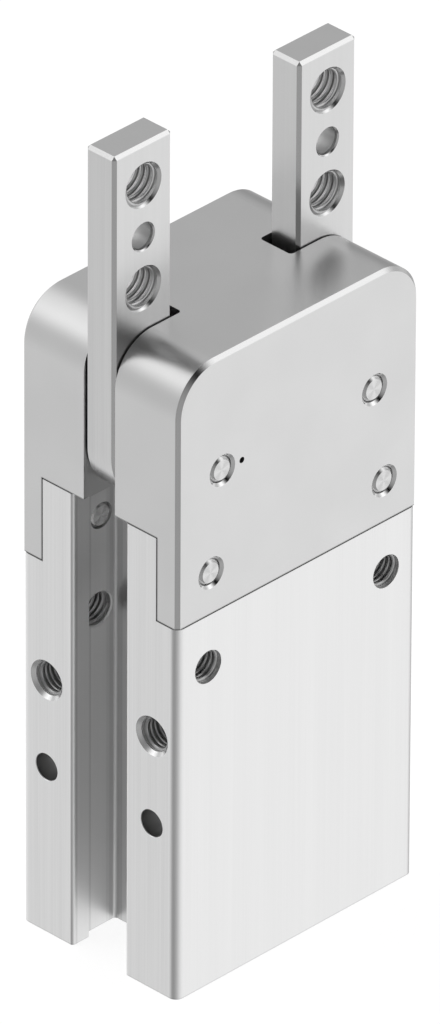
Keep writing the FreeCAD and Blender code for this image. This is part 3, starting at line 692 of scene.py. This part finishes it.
# The body's threads are a much darker grey than the body, as painted shade inside the holes.
cut_body = metal("cut_body_thread", grain, {"Grain": 5000.0}, light=grey(0.52), dark=grey(0.42),
                 gloss=(0.28, 0.38), relief=(0.02, 0.00001))
paint_crest_highlights(cut_body, 0.95)
cut_jaw = metal("cut_jaw_thread", grain, {"Grain": 5000.0}, light=grey(0.72), dark=grey(0.64),
                gloss=(0.34, 0.44), relief=(0.02, 0.00001))
paint_crest_highlights(cut_jaw, 0.98)
towards = {(0, -1, 0): (math.pi / 2, 0.0, 0.0), (0, 1, 0): (-math.pi / 2, 0.0, 0.0),
           (-1, 0, 0): (0.0, -math.pi / 2, 0.0), (1, 0, 0): (0.0, math.pi / 2, 0.0)}
m5 = {"Radius": 0.00253, "Pitch": 0.0008, "Crest": 0.125, "Depth": 0.575, "Finish": cut_body}
m6 = {"Radius": 0.00303, "Pitch": 0.0010, "Crest": 0.060, "Depth": 0.400, "Finish": cut_jaw}
thread_row("front_threads", "housing", "body_aluminium", "front_threads", (1, 0, 0), 0.0067,
           Holes=2, Turns=9.6, **m5)
thread_row("back_threads", "housing", "body_aluminium", "back_threads", (1, 0, 0), 0.0067,
           Holes=2, Turns=9.6, **m5)
thread_row("left_threads", "housing", "body_aluminium", "side_threads_left", (0, 1, 0), 0.0167,
           Holes=2, Turns=7.0, **m5)
thread_row("right_threads", "housing", "body_aluminium", "side_threads_right", (0, 1, 0), 0.0167,
           Holes=2, Turns=7.0, **m5)
thread_row("port_threads", "housing", "body_aluminium", "air_ports", (0, 0, 1), 0.0109,
           Holes=2, Turns=3.8, **m5)
thread_row("left_finger_threads", "left_jaw", "jaw_steel", "finger_threads_left", (0, 0, 1),
           -0.0024, Holes=2, Turns=4.8, **m6)
thread_row("right_finger_threads", "right_jaw", "jaw_steel", "finger_threads_right", (0, 0, 1),
           -0.0024, Holes=2, Turns=4.8, **m6)

# Pins: ground steel, faced and chamfered at both ends. Two carry the jaws, four hold the cap, and
# two in the crosshead work the jaws' forks. The facing tool leaves rings round each pin's centre.


def turned_rings():
    """Rings round the Z axis, as a cutting tool leaves on a turned face, and a painted reflection
    over them: a star of four light and four dark rays.
    """
    sizes = {"Feed": 14000.0, "Clouds": 400.0, "Painted_rays": 0.0}
    clouds_share = 0.35
    ray_count = 4.0
    group, given, made = pattern_group("turned_rings", sizes, ("Tone", "Relief"))
    split = group.nodes.new("ShaderNodeSeparateXYZ")
    group.links.new(given.outputs["Place"], split.inputs["Vector"])
    flat = group.nodes.new("ShaderNodeCombineXYZ")
    group.links.new(split.outputs["X"], flat.inputs["X"])
    group.links.new(split.outputs["Y"], flat.inputs["Y"])
    radius = group.nodes.new("ShaderNodeVectorMath")
    radius.operation = "LENGTH"
    group.links.new(flat.outputs["Vector"], radius.inputs[0])
    rings = group.nodes.new("ShaderNodeTexNoise")
    rings.noise_dimensions = "1D"
    rings.inputs["Detail"].default_value = 1.0
    group.links.new(radius.outputs["Value"], rings.inputs["W"])
    group.links.new(given.outputs["Feed"], rings.inputs["Scale"])
    cloud = group.nodes.new("ShaderNodeTexNoise")
    group.links.new(given.outputs["Place"], cloud.inputs["Vector"])
    group.links.new(given.outputs["Clouds"], cloud.inputs["Scale"])
    both = group.nodes.new("ShaderNodeMix")
    both.inputs["Factor"].default_value = clouds_share
    group.links.new(rings.outputs["Fac"], both.inputs["A"])
    group.links.new(cloud.outputs["Fac"], both.inputs["B"])
    turn = group.nodes.new("ShaderNodeMath")
    turn.operation = "ARCTAN2"
    group.links.new(split.outputs["Y"], turn.inputs[0])
    group.links.new(split.outputs["X"], turn.inputs[1])
    many = group.nodes.new("ShaderNodeMath")
    many.operation = "MULTIPLY"
    many.inputs[1].default_value = ray_count
    group.links.new(turn.outputs["Value"], many.inputs[0])
    wave = group.nodes.new("ShaderNodeMath")
    wave.operation = "COSINE"
    group.links.new(many.outputs["Value"], wave.inputs[0])
    rays = group.nodes.new("ShaderNodeMath")
    rays.operation = "MULTIPLY_ADD"
    group.links.new(wave.outputs["Value"], rays.inputs[0])
    group.links.new(given.outputs["Painted_rays"], rays.inputs[1])
    group.links.new(both.outputs["Result"], rays.inputs[2])
    group.links.new(rays.outputs["Value"], made.inputs["Tone"])
    group.links.new(rings.outputs["Fac"], made.inputs["Relief"])
    return group


def about(material, centre, turn):
    """Centre a finish's rings on a piece, and turn them to its axis."""
    tree = material.node_tree
    marks = tree.nodes["marks"]
    place = marks.inputs["Place"].links[0].from_socket
    move = tree.nodes.new("ShaderNodeMapping")
    move.vector_type = "TEXTURE"
    move.inputs["Location"].default_value = centre
    move.inputs["Rotation"].default_value = turn
    tree.links.new(place, move.inputs["Vector"])
    tree.links.new(move.outputs["Vector"], marks.inputs["Place"])


rings = turned_rings()
lying = (math.pi / 2, 0.0, 0.0)
# Each pin's tone carries a painted reflection, a star of rays round its axis.
for pin in sorted(n for n in frame["nodes"] if "_pin_" in n):
    low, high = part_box(pin)
    ground_pin = metal(pin + "_steel", rings, {"Painted_rays": 0.22}, light=grey(0.69), dark=grey(0.54),
                       gloss=(0.20, 0.30), relief=(0.15, 0.00001))
    about(ground_pin, (low + high) / 2, lying)
    coat(pin, ground_pin)

# Crosshead and piston rod: a milled steel head on the end of a ground and hard-chromed rod. They
# run up inside the cap and push both forks over together.
milled_head = metal("milled_crosshead", grain, {"Grain": 4000.0, "Clouds": 500.0},
                    light=grey(0.66), dark=grey(0.52), gloss=(0.25, 0.38), relief=(0.15, 0.00002))
coat("crosshead", milled_head)
chromed_rod = metal("chromed_rod", rings, {"Feed": 9000.0}, light=(0.86, 0.86, 0.87),
                    dark=(0.80, 0.80, 0.81), gloss=(0.06, 0.12), relief=(0.02, 0.00001))
coat("piston_rod", chromed_rod)

# Piston: turned aluminium, with a plastic-bonded magnet ring between two lip seals. A zinc-plated
# nut clamps it to the rod.
turned_piston = metal("turned_piston", rings, {"Feed": 6000.0}, light=(0.82, 0.82, 0.83),
                      dark=(0.70, 0.70, 0.71), gloss=(0.22, 0.32), relief=(0.15, 0.00002))
coat("piston", turned_piston)
zinc_nut = metal("zinc_nut", grain, {"Grain": 3000.0, "Clouds": 300.0}, light=(0.72, 0.71, 0.66),
                 dark=(0.58, 0.58, 0.55), gloss=(0.28, 0.40), relief=(0.1, 0.00002))
coat("piston_nut", zinc_nut)
bonded_magnet = metal("bonded_magnet", grain, {"Grain": 5000.0}, light=grey(0.045),
                      dark=grey(0.02), gloss=(0.45, 0.65), relief=(0.3, 0.00003), metallic=0.0)
coat("piston_magnet", bonded_magnet)

# Bearings: plain bronze bushes, pressed into the jaws' feet and into the top of the body. Two hold
# the jaws on their pins and one guides the rod.
bronze = {"light": (0.72, 0.54, 0.30), "dark": (0.58, 0.41, 0.20), "gloss": (0.28, 0.40),
          "relief": (0.15, 0.00002)}
coat("rod_guide_bush", metal("bronze_bush", rings, {"Feed": 8000.0}, **bronze))
for bush in ("jaw_bush_left", "jaw_bush_right"):
    low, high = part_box(bush)
    bronze_bush = metal(bush + "_bronze", rings, {"Feed": 8000.0}, **bronze)
    about(bronze_bush, (low + high) / 2, lying)
    coat(bush, bronze_bush)

# Seals and buffers: moulded black rubber. Lip seals run on the bore and on the rod, a cord ring
# seals the cover, and two flat rings stop the piston softly.
black_rubber = metal("black_rubber", grain, {"Grain": 3500.0, "Clouds": 200.0},
                     light=grey(0.030), dark=grey(0.014), gloss=(0.50, 0.72),
                     relief=(0.3, 0.00004), metallic=0.0)
for ring in ("piston_seal_lower", "piston_seal_upper", "rod_seal", "end_cover_seal",
             "buffer_lower", "buffer_upper"):
    coat(ring, black_rubber)

# Bottom end: a turned and anodised plug closes the cylinder. A blackened spring ring holds it, with
# an eye at each end for the pliers.
turned_cover = metal("turned_cover", rings, {"Feed": 3500.0}, light=grey(0.84), dark=grey(0.70),
                     gloss=(0.24, 0.34), relief=(0.2, 0.00003))
coat("end_cover", turned_cover)
blackened_ring = metal("blackened_ring", grain, {"Grain": 4000.0, "Clouds": 300.0},
                       light=(0.10, 0.10, 0.105), dark=(0.05, 0.05, 0.055), gloss=(0.32, 0.48),
                       relief=(0.15, 0.00002))
coat("retaining_ring", blackened_ring)
